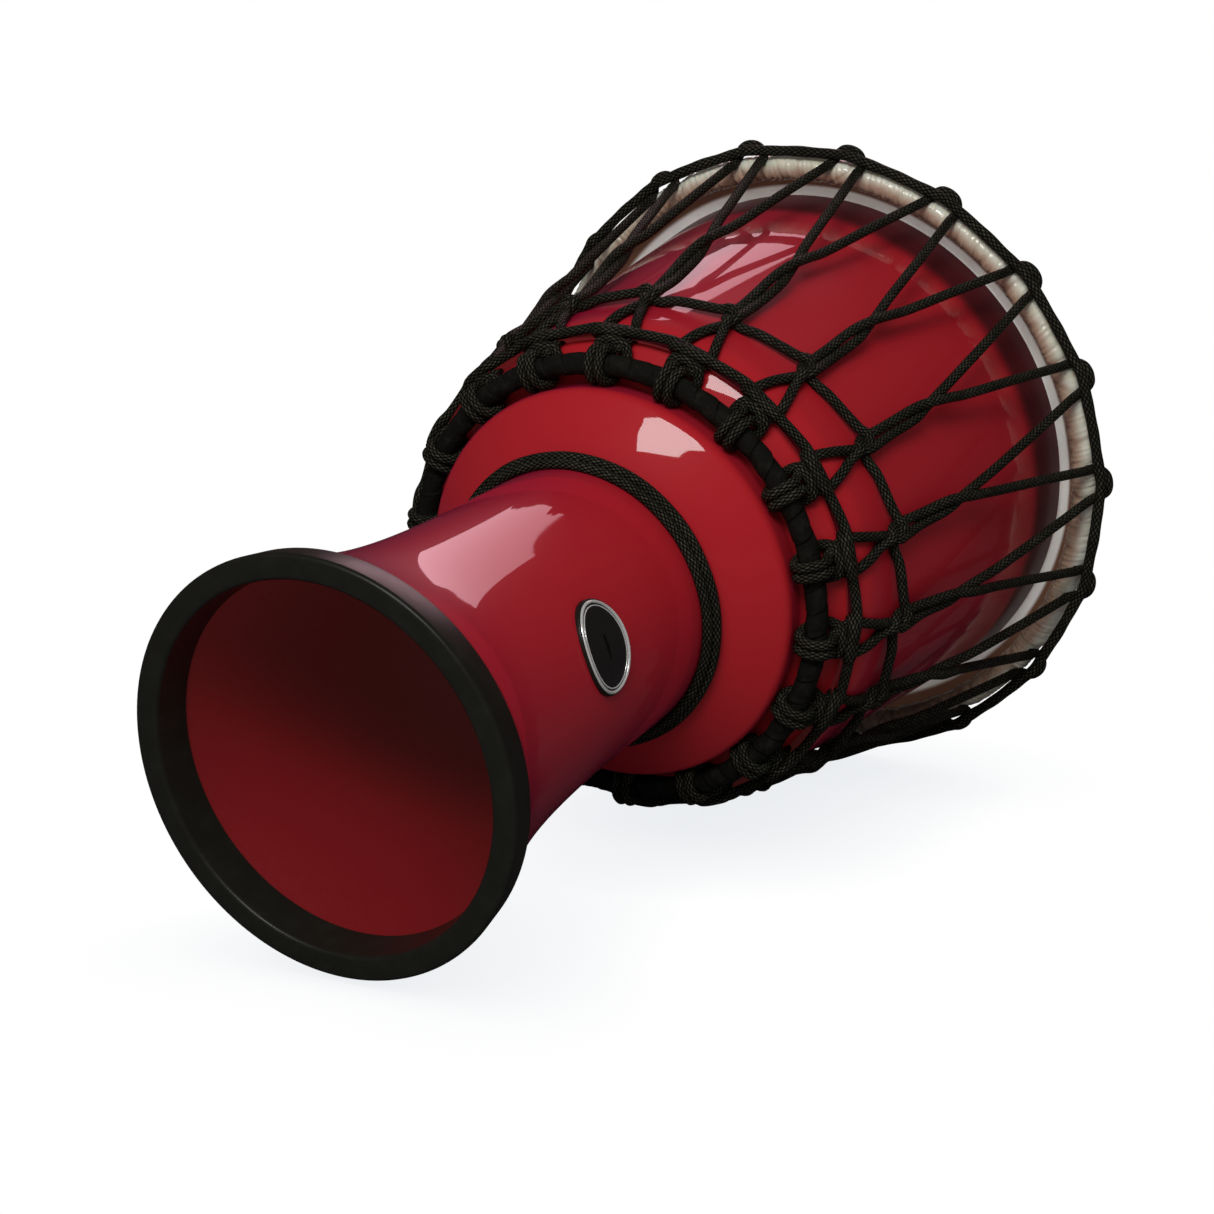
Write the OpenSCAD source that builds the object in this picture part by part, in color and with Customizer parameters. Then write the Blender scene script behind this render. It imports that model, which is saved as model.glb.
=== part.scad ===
// Rope-tuned djembe: a moulded goblet shell, a skin head on a steel flesh hoop,
// and a net of braided cord that pulls the head down towards a lower ring.
// The origin is the centre of the foot's resting face and +Z runs up to the head.

/* [Overall] */
// Height from the resting face to the playing surface
total_h = 304.8; // [304.8:0.1:304.8]
// Number of V-shaped pairs of tension cord around the drum
pair_count = 18; // [16:1:18]
// Azimuth of the first V; it sets where the net stands relative to the badge
net_turn = -3; // [-20:1:20]

/* [Shell] */
// Radius of the waist, where the stem is narrowest
waist_r = 42.3; // [42.3:0.1:42.3]
// How far the foot flare stands out from the waist at height zero
flare_r = 21.1; // [20:0.1:21.1]
// Height over which the flare dies away
flare_fall = 35.3; // [34:0.1:36]
// Wall thickness
wall = 3.8; // [3.4:0.1:3.8]
// Outer radius of the bowl at the bearing edge
rim_r = 88.4; // [88.4:0.1:88.4]

/* [Foot ring] */
// Outer radius of the resting face
foot_r = 60.9; // [60.9:0.1:62]
// Outer radius at the ring's upper edge
foot_back_r = 58.6; // [58.5:0.1:59]
// Height of the ring's outer wall
foot_h = 10.8; // [10:0.1:11]
// Inner radius at the resting face
foot_in_r = 53.3; // [53:0.1:53.4]
// Height of the ring's inner lip
foot_lip_h = 12.3; // [12:0.1:13]
// Thickness of rubber under the shell's edge
foot_floor = 3; // [2.5:0.1:3]

/* [Head] */
// Thickness of the skin
skin_t = 0.9; // [0.9:0.1:0.9]
// Radius of the circle through the middle of the flesh hoop
hoop_r = 99.3; // [99.3:0.1:99.3]
// Height of the flesh hoop
hoop_z = 297.5; // [297.5:0.1:297.5]
// Thickness of the flesh hoop's steel bar
hoop_bar_d = 5.8; // [5:0.1:5.8]
// Outside diameter of the skin rolled around the hoop
roll_d = 8; // [8:0.1:8]

/* [Cord] */
// Diameter of the braided tension and weave cord
cord_d = 3; // [2.6:0.1:3]
// Diameter of the crown cord that links the hitches
crown_d = 3.6; // [3:0.1:3.6]

/* [Lower ring] */
// Radius of the circle through the middle of the ring
ring_r = 68.6; // [68.6:0.1:68.8]
// Height of the ring
ring_z = 159; // [158.5:0.1:159.5]
// Thickness of its steel bar
ring_bar_d = 4.8; // [4:0.1:4.8]
// Outside diameter over the cloth wrapping
wrap_d = 6.6; // [6.4:0.1:6.6]

/* [Badge] */
// Width of the oval badge around the stem
badge_w = 28; // [24:1:30]
// Height of the badge
badge_h = 22; // [18:1:24]
// Height of its centre above the resting face
badge_z = 78; // [74:1:90]

/* [Hidden] */
gap = 0.1;            // clearance between neighbouring pieces
fit = 0.03;           // clearance where one piece is wrapped on another
pitch = 360 / pair_count;
cord_r = cord_d / 2;
rim_z = total_h - skin_t - gap / 2;
flare_top = 12;       // the flare ends here, inside the foot ring
waist_z = 130;        // the stem's curve ends here
arc_steps = 8;        // straight steps in each rounded corner
bend_swell = 1.08;    // a cord is this much thicker where it bends

// ---------- curves ----------

// Point at radius r, azimuth a and height z.
function polar(r, a, z) = [r * cos(a), r * sin(a), z];

// Unit vector from p to q.
function dir(p, q) = (q - p) / norm(q - p);

// One corner of an outline, rounded to radius rad.
function corner(a, b, c, rad) =
  let (u = dir(b, a), v = dir(b, c))
  let (half = acos(min(1, max(-1, u * v))) / 2)
  let (mid = dir([0, 0], u + v))
  let (centre = b + mid * rad / sin(half))
  let (from = centre - (b + u * rad / tan(half)))
  let (to = centre - (b + v * rad / tan(half)))
  let (a0 = atan2(-from[1], -from[0]), a1 = atan2(-to[1], -to[0]))
  let (turn = a1 - a0, sweep = turn > 180 ? turn - 360 : turn < -180 ? turn + 360 : turn)
  [for (i = [0 : arc_steps])
    centre + rad * [cos(a0 + sweep * i / arc_steps), sin(a0 + sweep * i / arc_steps)]];

// Outline through points [r, z, rounding]; the two ends stay sharp.
function rounded(p) = [
  for (i = [0 : len(p) - 1])
    each (i == 0 || i == len(p) - 1 || p[i][2] == 0)
      ? [[p[i][0], p[i][1]]]
      : corner([p[i-1][0], p[i-1][1]], [p[i][0], p[i][1]], [p[i+1][0], p[i+1][1]], p[i][2])
];

// Radius of the stem at height z.
function stem_r(z) = waist_r + flare_r * exp(-z / flare_fall);

// The same corners, each moved w inwards (to the left of the direction of travel).
function inset(p, w) = [
  for (i = [1 : len(p) - 2])
    let (b = [p[i][0], p[i][1]])
    let (u = dir([p[i-1][0], p[i-1][1]], b), v = dir(b, [p[i+1][0], p[i+1][1]]))
    let (n = dir([0, 0], [-u[1] - v[1], u[0] + v[0]]))
    let (bend = u[0] * v[1] - u[1] * v[0], shift = w / sqrt((1 + u * v) / 2))
    [b[0] + n[0] * shift, b[1] + n[1] * shift, max(1, p[i][2] - w * sign(bend))]
];

// ---------- shell ----------

// Corners [radius, height, rounding] of the outer surface above the stem.
neck_z = 140.2;
seat_r = 61.2;
seat_z = 163.5;
bowl_r = 77.4;
bowl_z = 174.2;
bowl_round = 14;
upper_corners = [
  [stem_r(waist_z), waist_z, 0],
  [waist_r, neck_z, 2.4],           // neck, where the cord lies
  [62.6, 153.2, 4],                 // edge of the shoulder
  [seat_r, seat_z, 2.5],            // seat that the lower ring stands around
  [bowl_r, bowl_z, bowl_round],     // underside of the bowl turns into its wall
  [rim_r, rim_z - 2, 1],
  [rim_r - 1.8, rim_z, 0]           // bearing edge
];
stem_step = (waist_z - flare_top) / 16;

function shell_outer() = rounded(concat(
  [[stem_r(flare_top), foot_floor + gap, 0]],
  [for (z = [flare_top : stem_step : waist_z - 1]) [stem_r(z), z, 0]],
  upper_corners));

function reversed(p) = [for (i = [len(p) - 1 : -1 : 0]) p[i]];

function shell_inner() = rounded(concat(
  [[rim_r - wall + 0.8, rim_z, 0], [rim_r - wall, rim_z - 3, 1]],
  reversed([for (i = [0 : 3]) inset(upper_corners, wall)[i]]),
  [for (z = [waist_z : -stem_step : flare_top - 1]) [stem_r(z) - wall, z, 0]],
  [[stem_r(flare_top) - wall, foot_floor + gap, 0]]));

module shell() {
  color("firebrick")
    rotate_extrude($fn = 144)
      polygon(concat(shell_outer(), shell_inner()));
}

// Rubber channel pushed over the shell's lower edge.
module foot_ring() {
  edge_r = stem_r(flare_top);
  color("#1c1c18")
    rotate_extrude($fn = 144)
      polygon([
        [foot_in_r + 0.6, 0], [foot_r - 0.8, 0], [foot_r, 0.8], [foot_back_r, foot_h - 0.5],
        [foot_back_r - 0.5, foot_h], [edge_r + gap, foot_h], [edge_r + gap, foot_floor],
        [edge_r - wall - gap, foot_floor], [edge_r - wall - 2 * gap, foot_lip_h],
        [foot_in_r - 1.1, foot_lip_h], [foot_in_r, 0.6]
      ]);
}

// ---------- head ----------

// Skin: flat over the bearing edge, sloping out to the roll around the hoop.
module drum_skin() {
  slope_top = [rim_r + 0.4, total_h - 0.3];
  slope_foot = [hoop_r - roll_d / 2 + 0.8, hoop_z + roll_d / 4];
  out = [skin_t * 0.75, skin_t * 0.75];
  color("#d6d0b8")
    rotate_extrude($fn = 144)
      union() {
        translate([0, total_h - skin_t])
          square([rim_r, skin_t]);
        polygon([
          [rim_r - 0.5, total_h - skin_t], slope_foot - out / 2, slope_foot + out, slope_top,
          [rim_r - 0.5, total_h]
        ]);
        difference() {
          translate([hoop_r, hoop_z])
            circle(d = roll_d, $fn = 48);
          translate([hoop_r, hoop_z])
            circle(d = hoop_bar_d + 2 * fit, $fn = 48);
        }
      }
}

// A bar or cord bent into a full circle.
module torus(r, z, d) {
  rotate_extrude($fn = 144)
    translate([r, z])
      circle(d = d, $fn = 32);
}

module flesh_hoop() {
  color("silver")
    torus(hoop_r, hoop_z, hoop_bar_d);
}

// ---------- cords ----------

// A cord through a list of points: straight lengths, with a slightly swollen ball at each bend.
module cord(points, d) {
  for (i = [0 : len(points) - 2]) {
    v = points[i + 1] - points[i];
    translate(points[i])
      rotate([0, acos(v[2] / norm(v)), atan2(v[1], v[0])])
        cylinder(h = norm(v), d = d, $fn = 24);
  }
  if (len(points) > 2)
    for (i = [1 : len(points) - 2])
      translate(points[i])
        sphere(d = d * bend_swell, $fn = 24);
}

// Copies of the children at every V, or at every knot halfway between two Vs.
module each_pair(shift = 0) {
  for (i = [0 : pair_count - 1])
    rotate([0, 0, net_turn + (i + shift) * pitch])
      children();
}

// A turn of cord around a bar that runs tangentially at radius r and height z.
module turn(r, z, bar_d, side, from = 0, sweep = 360) {
  translate([r, side, z])
    rotate([90, 0, 0])
      rotate([0, 0, from])
        rotate_extrude(angle = sweep, $fn = 48)
          translate([bar_d / 2 + cord_r + gap / 2, 0])
            circle(r = cord_r, $fn = 24);
}

// Where the cords run. Each value is a radius, a height or a sideways offset.
crown_r = 107;        // crown cord at the knots
crown_z = 293.8;
crown_sag = 0.3;      // it hangs this much lower midway between knots
leg_top_r = 103.8;    // tension cord where it leaves the knot
leg_top_z = 288.5;
leg_spread = 6.3;     // sideways distance of that point from the knot
meet_r = 88.9;        // the two cords of a V meet here
meet_z = 225;
upper_z = 191.7;      // upper weave row
upper_r = 80.5;       // the pair of cords that it gathers
lower_spread = 5.5;   // sideways distance of the parted cords at the lower row
pair_side = cord_r * bend_swell + gap / 2;

// Point at a given lift off the rounded underside of the bowl, at an angle below level.
function on_bowl(angle, lift) =
  let (u = dir([seat_r, seat_z], [bowl_r, bowl_z]), v = dir([bowl_r, bowl_z], [rim_r, rim_z - 2]))
  let (m = dir([0, 0], [u[1] + v[1], -u[0] - v[0]]), reach = bowl_round / sqrt((1 + u * v) / 2))
  [bowl_r - m[0] * reach + (bowl_round + lift) * cos(angle),
   bowl_z - m[1] * reach - (bowl_round + lift) * sin(angle)];

// Azimuth of a point that lies a sideways distance off a radius line.
function side_turn(r, side) = asin(side / r);

// Crown cord: one straight, slightly sagging span from each knot to the next.
module crown_cord() {
  mid_r = crown_r * cos(pitch / 2);
  end = pitch / 2 - 0.3;
  color("#1c1c18")
    each_pair()
      cord([
        polar(crown_r, -end, crown_z),
        polar(mid_r, 0, crown_z - crown_sag),
        polar(crown_r, end, crown_z)
      ], crown_d);
}

// A point of a loop around the crown cord: an angle round it, a distance, a sideways offset.
function loop_point(angle, out, side) =
  [crown_r - abs(side) * tan(pitch / 2) + out * cos(angle), side, crown_z + out * sin(angle)];

// The loop of tension cord thrown over the crown cord at each knot.
module crown_hitches() {
  out = crown_d / 2 + cord_r + 0.4;
  half = [[100, out, 4.4], [72, out + 0.1, 3.8], [38, out + 0.1, 2]];
  color("#1c1c18")
    each_pair(0.5)
      cord([
        for (p = half) loop_point(p[0], p[1], p[2]),
        for (i = [len(half) - 1 : -1 : 0]) loop_point(half[i][0], half[i][1], -half[i][2])
      ], cord_d);
}

// One cord of a V, from the crown down to the upper weave row; s is -1 or 1.
module tension_cord(s) {
  top = polar(leg_top_r, s * (pitch / 2 - side_turn(leg_top_r, leg_spread)), leg_top_z);
  meet = polar(meet_r, s * side_turn(meet_r, pair_side), meet_z);
  node_top = polar(upper_r, s * side_turn(upper_r, pair_side), upper_z + 0.5);
  cord([top, meet, node_top], cord_d);
}

module left_tension_cords() {
  color("#1c1c18")
    each_pair()
      tension_cord(1);
}

module right_tension_cords() {
  color("#1c1c18")
    each_pair()
      tension_cord(-1);
}

// A point on the bowl's underside as [x, y, z], a sideways distance off the radius line.
function cord_on_bowl(angle, lift, side) =
  let (p = on_bowl(angle, lift))
  polar(p[0], side_turn(p[0], side), p[1]);

// One cord from the upper weave row, round the bowl's underside and down to the ring.
module lower_cord(s) {
  lift = cord_r * bend_swell + 0.25;
  start = polar(upper_r + 0.1, s * side_turn(upper_r, pair_side), upper_z - cord_d - 0.5);
  foot = polar(ring_r + 4.4, s * side_turn(ring_r, pair_side), ring_z + 6.9);
  cord([
    start,
    cord_on_bowl(6, lift, s * (lower_spread - 3)),
    cord_on_bowl(25, lift, s * (lower_spread - 1.6)),
    cord_on_bowl(45, lift, s * lower_spread),
    foot
  ], cord_d);
}

module left_lower_cords() {
  color("#1c1c18")
    each_pair()
      lower_cord(1);
}

module right_lower_cords() {
  color("#1c1c18")
    each_pair()
      lower_cord(-1);
}

// A weave cord: one straight span from each pair of tension cords to the next.
module weave_cord(r, z) {
  end = 0.3;
  each_pair()
    cord([polar(r, end, z), polar(r, pitch - end, z)], cord_d);
}

module upper_weave_cord() {
  color("#1c1c18")
    weave_cord(upper_r + cord_d + 0.35, upper_z - cord_r);
}

lower_weave = on_bowl(45, 2 * cord_d);

module lower_weave_cord() {
  color("#1c1c18")
    weave_cord(lower_weave[0], lower_weave[1]);
}

// The turn that each weave cord takes outside itself as it grips a pair.
module weave_turn(r, z) {
  each_pair()
    translate([r, 0, z])
      rotate([0, 90, 0])
        rotate_extrude($fn = 32)
          translate([cord_d, 0])
            circle(r = cord_r * 0.8, $fn = 24);
}

module upper_weave_turns() {
  color("#1c1c18")
    weave_turn(upper_r + 2 * cord_d + 0.3, upper_z - cord_r);
}

module lower_weave_turns() {
  color("#1c1c18")
    weave_turn(lower_weave[0] + cord_d, lower_weave[1]);
}

// Two turns of cord around the wrapped ring under every V.
module ring_hitches() {
  color("#1c1c18")
    each_pair()
      for (s = [-1, 1])
        turn(ring_r, ring_z, wrap_d, s * (cord_r + gap / 2));
}

module lower_ring() {
  color("silver")
    torus(ring_r, ring_z, ring_bar_d);
}

module ring_cloth_wrap() {
  color("#242420")
    rotate_extrude($fn = 144)
      translate([ring_r, ring_z])
        difference() {
          circle(d = wrap_d, $fn = 32);
          circle(d = ring_bar_d + 2 * fit, $fn = 32);
        }
}

// Two turns of cord laid side by side in the neck, under the shoulder.
neck_turn_r = waist_r + 0.35 + cord_r;
neck_turn_z = neck_z - 4.2;

module neck_cord() {
  color("#1c1c18") {
    torus(neck_turn_r, neck_turn_z, cord_d);
    torus(neck_turn_r + 1.4, neck_turn_z + cord_d - 0.3, cord_d);
  }
}

// The knot that closes the neck cord at the back.
module neck_cord_knot() {
  color("#1c1c18")
    translate([0, neck_turn_r + 1.4 + cord_d + 0.3, neck_turn_z + cord_r])
      rotate([90, 0, 0])
        rotate_extrude($fn = 32)
          translate([cord_d * 0.7, 0])
            circle(r = cord_r, $fn = 24);
}

// The net's free end, tied off beside the ring at the back.
module cord_tail() {
  a = 90 + net_turn;
  color("#1c1c18")
    cord([
      polar(ring_r + wrap_d / 2 + 2.5, a, ring_z + 3),
      polar(ring_r + wrap_d / 2 + 2.2, a + 0.8, ring_z - 5),
      polar(ring_r + 1.5, a + 1.2, ring_z - 14)
    ], cord_d);
}

// ---------- badge ----------

badge_back = 45.6;    // radius of the curve that the badge is bent to, at its back
badge_bezel_t = 1.8;
badge_floor_t = 0.7;
badge_rim = 1.6;

// An upright oval cut from a wall that runs round the drum's axis, from radius r outwards.
module bent_oval(w, h, r, thick) {
  low = badge_z - badge_h;
  intersection() {
    translate([0, 0, badge_z])
      rotate([90, 0, 0])
        linear_extrude(r + 2 * thick)
          polygon([for (a = [0 : 5 : 355]) [w / 2 * cos(a), h / 2 * sin(a)]]);
    translate([0, 0, low])
      difference() {
        cylinder(r = r + thick, h = 2 * badge_h, $fn = 144);
        translate([0, 0, -1])
          cylinder(r = r, h = 2 * badge_h + 2, $fn = 144);
      }
  }
}

// The pad fills the wedge between the tapering stem and the badge.
module badge_pad() {
  color("dimgray")
    intersection() {
      bent_oval(badge_w - 2, badge_h - 2, 40, badge_back - gap / 2 - 40);
      rotate_extrude($fn = 144)
        polygon(concat(
          [for (z = [badge_z - 10 : 4 : badge_z + 10]) [stem_r(z) + gap, z]],
          [[badge_back, badge_z + 10], [badge_back, badge_z - 10]]));
    }
}

module badge_bezel() {
  color("lightgray")
    difference() {
      bent_oval(badge_w, badge_h, badge_back, badge_bezel_t);
      bent_oval(badge_w - 2 * badge_rim, badge_h - 2 * badge_rim,
        badge_back + badge_floor_t, badge_bezel_t);
    }
}

module badge_plate() {
  inner = 2 * badge_rim + 2 * gap;
  color("#14140f")
    bent_oval(badge_w - inner, badge_h - inner, badge_back + badge_floor_t + gap / 2, badge_floor_t);
}

shell();
foot_ring();
drum_skin();
flesh_hoop();
crown_cord();
crown_hitches();
left_tension_cords();
right_tension_cords();
upper_weave_cord();
upper_weave_turns();
left_lower_cords();
right_lower_cords();
lower_weave_cord();
lower_weave_turns();
ring_hitches();
lower_ring();
ring_cloth_wrap();
neck_cord();
neck_cord_knot();
cord_tail();
badge_bezel();
badge_plate();
badge_pad();
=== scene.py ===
import math

import bpy
import numpy as np
from mathutils import Euler, Matrix, Vector


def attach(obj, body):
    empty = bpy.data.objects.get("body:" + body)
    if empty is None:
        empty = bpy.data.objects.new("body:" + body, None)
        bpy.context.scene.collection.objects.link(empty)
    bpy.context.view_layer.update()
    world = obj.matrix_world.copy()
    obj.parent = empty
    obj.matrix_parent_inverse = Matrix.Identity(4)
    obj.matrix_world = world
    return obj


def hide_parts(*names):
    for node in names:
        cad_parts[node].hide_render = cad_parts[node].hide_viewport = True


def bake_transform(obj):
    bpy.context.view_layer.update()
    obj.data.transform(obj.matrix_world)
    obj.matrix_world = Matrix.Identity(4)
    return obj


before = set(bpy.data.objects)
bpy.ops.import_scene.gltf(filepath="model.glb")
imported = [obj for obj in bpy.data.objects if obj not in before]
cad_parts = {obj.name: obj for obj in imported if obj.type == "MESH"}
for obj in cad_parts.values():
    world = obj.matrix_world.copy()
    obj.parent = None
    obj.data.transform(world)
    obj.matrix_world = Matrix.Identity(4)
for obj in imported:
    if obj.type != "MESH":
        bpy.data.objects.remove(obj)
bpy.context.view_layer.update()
scene = bpy.context.scene
rng = np.random.default_rng(7)

MM = 0.001
TURN = 2 * math.pi
PAIRS = 18                  # Vs of tension cord round the drum
PITCH = TURN / PAIRS
NET = math.radians(-3)      # azimuth of the first V of the net

# ---------- shape of the drum: millimetres, points as (radius, height) ----------

TOP = 304.8                 # the playing face
RIM = (88.8, TOP - 0.95)    # outer edge of the shell's mouth
SEAT = (61.2, 163.5)        # inner end of the seat that the lower ring bears on
BOWL = (77.4, 174.2)        # where the seat turns up into the bowl
BOWL_ROUND = 14
WALL = 3.8
STEM_END = 12               # height where the flare stops, inside the foot ring
SHELL_FOOT = 3.1            # height of the shell's lower edge
SHEET = 0.9                 # thickness of the skin
HOOP = (99.2, 297.2)        # centre of the roll of skin
ROLL_R = 4.15
ROLL_IN = (96.0, 299.2)     # where the stretched skin meets the roll
CROWN = (107.0, 293.8)      # crown cord, at its knots
CROWN_R = 1.8
KNOT_PULL = 0.7             # how far a knot pulls the crown cord in
RING = (68.6, 159.0)        # centre of the wrapped lower ring
WRAP_R = 3.3
CORD = 1.6                  # radius of the braided cord
CORD_TOP = 292.6            # height where the tension cords leave the crown
ROW2_Z = 191.7              # height of the upper weave row
FOOT_R = 60.9               # outer radius of the foot ring on the ground
BADGE_Z = 78
BADGE_BACK = 45.6           # radius of the cylinder that the badge is bent to
BADGE_HALF = (14, 11)       # half of its width and half of its height


def stem_r(z):
    """Radius of the stem at a height: a throat that flares out towards the foot."""
    return 42.3 + 21.1 * math.exp(-max(z, STEM_END) / 35.3)


def unit(v):
    v = np.asarray(v, float)
    return v / np.linalg.norm(v)


def fillet(points, steps=10):
    """An outline through (r, z, rounding), each corner rounded off by an arc."""
    out = [points[0][:2]]
    for a, b, c in zip(points, points[1:], points[2:]):
        if b[2] == 0:
            out.append(b[:2])
            continue
        p = np.array(b[:2], float)
        u, v = unit(np.array(a[:2]) - p), unit(np.array(c[:2]) - p)
        half = math.acos(max(-1, min(1, u @ v))) / 2
        centre = p + unit(u + v) * b[2] / math.sin(half)
        start, end = p + u * b[2] / math.tan(half) - centre, p + v * b[2] / math.tan(half) - centre
        a0 = math.atan2(start[1], start[0])
        turn = (math.atan2(end[1], end[0]) - a0 + math.pi) % TURN - math.pi
        for i in range(steps + 1):
            t = a0 + turn * i / steps
            out.append((centre[0] + b[2] * math.cos(t), centre[1] + b[2] * math.sin(t)))
    out.append(points[-1][:2])
    return out


def densify(points, step):
    """The same outline with no edge longer than about two steps."""
    out = [points[0]]
    for a, b in zip(points, points[1:]):
        n = max(1, int(math.hypot(b[0] - a[0], b[1] - a[1]) / step))
        out += [(a[0] + (b[0] - a[0]) * i / n, a[1] + (b[1] - a[1]) * i / n) for i in range(1, n + 1)]
    return out


def bowl_point(angle, lift):
    """A point at a lift off the bowl's rounded underside, at an angle in degrees below level."""
    u, v = unit(np.subtract(BOWL, SEAT)), unit(np.subtract(RIM, BOWL))
    out = unit(np.array([u[1] + v[1], -u[0] - v[0]]))
    centre = np.array(BOWL) - out * BOWL_ROUND / math.sqrt((1 + u @ v) / 2)
    t = math.radians(angle)
    return centre + (BOWL_ROUND + lift) * np.array([math.cos(t), -math.sin(t)])


def at(k, side, r, z):
    """The point a sideways distance off the line of V number k, at radius r and height z."""
    a = NET + k * PITCH + math.asin(side / r)
    return (r * math.cos(a), r * math.sin(a), z)


def on_bowl(k, angle, side, lift):
    """A point near V number k, at a lift off the bowl's underside."""
    return at(k, side, *bowl_point(angle, lift))


def around(centre, angle, out):
    """The (radius, height) at an angle and distance from a centre: 0 is outward and 90 is up."""
    t = math.radians(angle)
    return centre[0] + out * math.cos(t), centre[1] + out * math.sin(t)


# ---------- meshes ----------

def make(name, verts, faces, uvs, mat, body, nodes=(), slot=None):
    """A smooth mesh from millimetres, riding a body and standing for CAD nodes."""
    mesh = bpy.data.meshes.new(name)
    mesh.from_pydata((np.asarray(verts) * MM).tolist(), [], faces)
    layer = mesh.uv_layers.new(name="UVMap")
    layer.data.foreach_set("uv", np.asarray(uvs, np.float32).ravel())
    mesh.polygons.foreach_set("use_smooth", [True] * len(faces))
    mesh.materials.append(mat)
    mesh.update()
    obj = bpy.data.objects.new(name, mesh)
    scene.collection.objects.link(obj)
    if body:
        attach(obj, body)
    if nodes:
        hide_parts(*nodes)
    return obj


def grid(points, us, vs, close_rows=False):
    """Faces and loop UVs of a grid of points [rows, columns, 3], closed round its columns."""
    rows, cols = points.shape[:2]
    faces, uvs = [], []
    for i in range(rows if close_rows else rows - 1):
        i2 = (i + 1) % rows
        for j in range(cols):
            j2 = (j + 1) % cols
            faces.append((i * cols + j, i * cols + j2, i2 * cols + j2, i2 * cols + j))
            uvs += [(us[j], vs[i]), (us[j + 1], vs[i]), (us[j + 1], vs[i + 1]), (us[j], vs[i + 1])]
    return faces, uvs


def circle(n):
    """n angles evenly round a circle."""
    return np.arange(n) * TURN / n


def ring_mesh(centre, pipe, phi, theta):
    """A ring with a pipe radius given at each angle round the drum and round the pipe."""
    n, m = pipe.shape
    r = centre[0] + pipe * np.cos(theta)
    pts = np.stack([r * np.cos(phi), r * np.sin(phi), centre[1] + pipe * np.sin(theta)], 2)
    faces, uvs = grid(pts, np.arange(m + 1) / m, np.arange(n + 1) * TURN * centre[0] / n, True)
    return pts.reshape(-1, 3), faces, uvs


def lathe(outline, segments, closed=False):
    """Turns an outline of (r, z) about the drum's axis. Returns vertices, faces and UVs."""
    a = circle(segments)
    o = np.array(outline, float)
    pts = np.stack([o[:, 0, None] * np.cos(a), o[:, 0, None] * np.sin(a),
                    np.repeat(o[:, 1, None], segments, 1)], 2)
    if closed:
        o = np.vstack([o, o[:1]])
    length = np.concatenate([[0], np.cumsum(np.linalg.norm(np.diff(o, axis=0), axis=1))])
    us = np.arange(segments + 1) / segments
    faces, uvs = grid(pts, us, list(length) + [length[-1]], closed)
    return pts.reshape(-1, 3), faces, uvs


def spline(points, step=1.2, closed=False):
    """A smooth curve through points, sampled about every step."""
    p = np.array(points, float)
    n = len(p)
    if closed:
        p = np.vstack([p[-1], p, p[0], p[1]])
    else:
        p = np.vstack([2 * p[0] - p[1], p, 2 * p[-1] - p[-2]])
    t = np.concatenate([[0], np.cumsum(np.sqrt(np.linalg.norm(np.diff(p, axis=0), axis=1)))])
    out = []
    for i in range(1, n + 1 if closed else n):
        dt = t[i + 1] - t[i]
        m0 = (p[i + 1] - p[i - 1]) / (t[i + 1] - t[i - 1]) * dt
        m1 = (p[i + 2] - p[i]) / (t[i + 2] - t[i]) * dt
        count = max(2, int(math.ceil(np.linalg.norm(p[i + 1] - p[i]) / step)))
        for s in np.arange(count) / count:
            out.append((2 * s**3 - 3 * s**2 + 1) * p[i] + (s**3 - 2 * s**2 + s) * m0
                       + (3 * s**2 - 2 * s**3) * p[i + 1] + (s**3 - s**2) * m1)
    if not closed:
        out.append(p[n])
    return np.array(out)


def sweep(path, radius=CORD, closed=False, sides=12):
    """A tube along a path. UV u goes round it and v is its length in millimetres."""
    n = len(path)
    if closed:
        tangent = np.roll(path, -1, 0) - np.roll(path, 1, 0)
    else:
        tangent = np.gradient(path, axis=0)
    tangent /= np.linalg.norm(tangent, axis=1)[:, None]
    normal = np.zeros_like(path)
    if closed:
        outward = path * [1, 1, 0]
        normal = outward - tangent * np.sum(outward * tangent, 1)[:, None]
        normal /= np.linalg.norm(normal, axis=1)[:, None]
    else:
        first = np.cross(tangent[0], [0, 0, 1.0])
        if np.linalg.norm(first) < 1e-3:
            first = np.cross(tangent[0], [1.0, 0, 0])
        normal[0] = unit(first)
        for i in range(1, n):
            normal[i] = unit(normal[i - 1] - tangent[i] * (normal[i - 1] @ tangent[i]))
    other = np.cross(tangent, normal)
    r = np.broadcast_to(np.asarray(radius, float), (n,)).copy()
    if not closed:
        r[[0, -1]] *= 0.3
    a = circle(sides)
    pts = path[:, None] + r[:, None, None] * (np.cos(a)[None, :, None] * normal[:, None]
                                              + np.sin(a)[None, :, None] * other[:, None])
    gaps = np.linalg.norm(np.diff(np.vstack([path, path[:1]]), axis=0), axis=1)
    length = np.concatenate([[0], np.cumsum(gaps)])
    faces, uvs = grid(pts, np.arange(sides + 1) / sides, length, closed)
    verts = pts.reshape(-1, 3)
    if not closed:
        for ring, v in ((0, length[0]), (n - 1, length[n - 1])):
            loop = tuple(ring * sides + j for j in range(sides))
            faces.append(loop[::-1] if ring == 0 else loop)
            uvs += [(0.5, v)] * sides
    return verts, faces, uvs


def join(parts):
    """Several (vertices, faces, uvs) as one."""
    verts, faces, uvs, base = [], [], [], 0
    for v, f, u in parts:
        verts.append(v)
        faces += [tuple(i + base for i in face) for face in f]
        uvs += list(u)
        base += len(v)
    return np.vstack(verts), faces, uvs


# ---------- materials (their lengths are in metres) ----------

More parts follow.
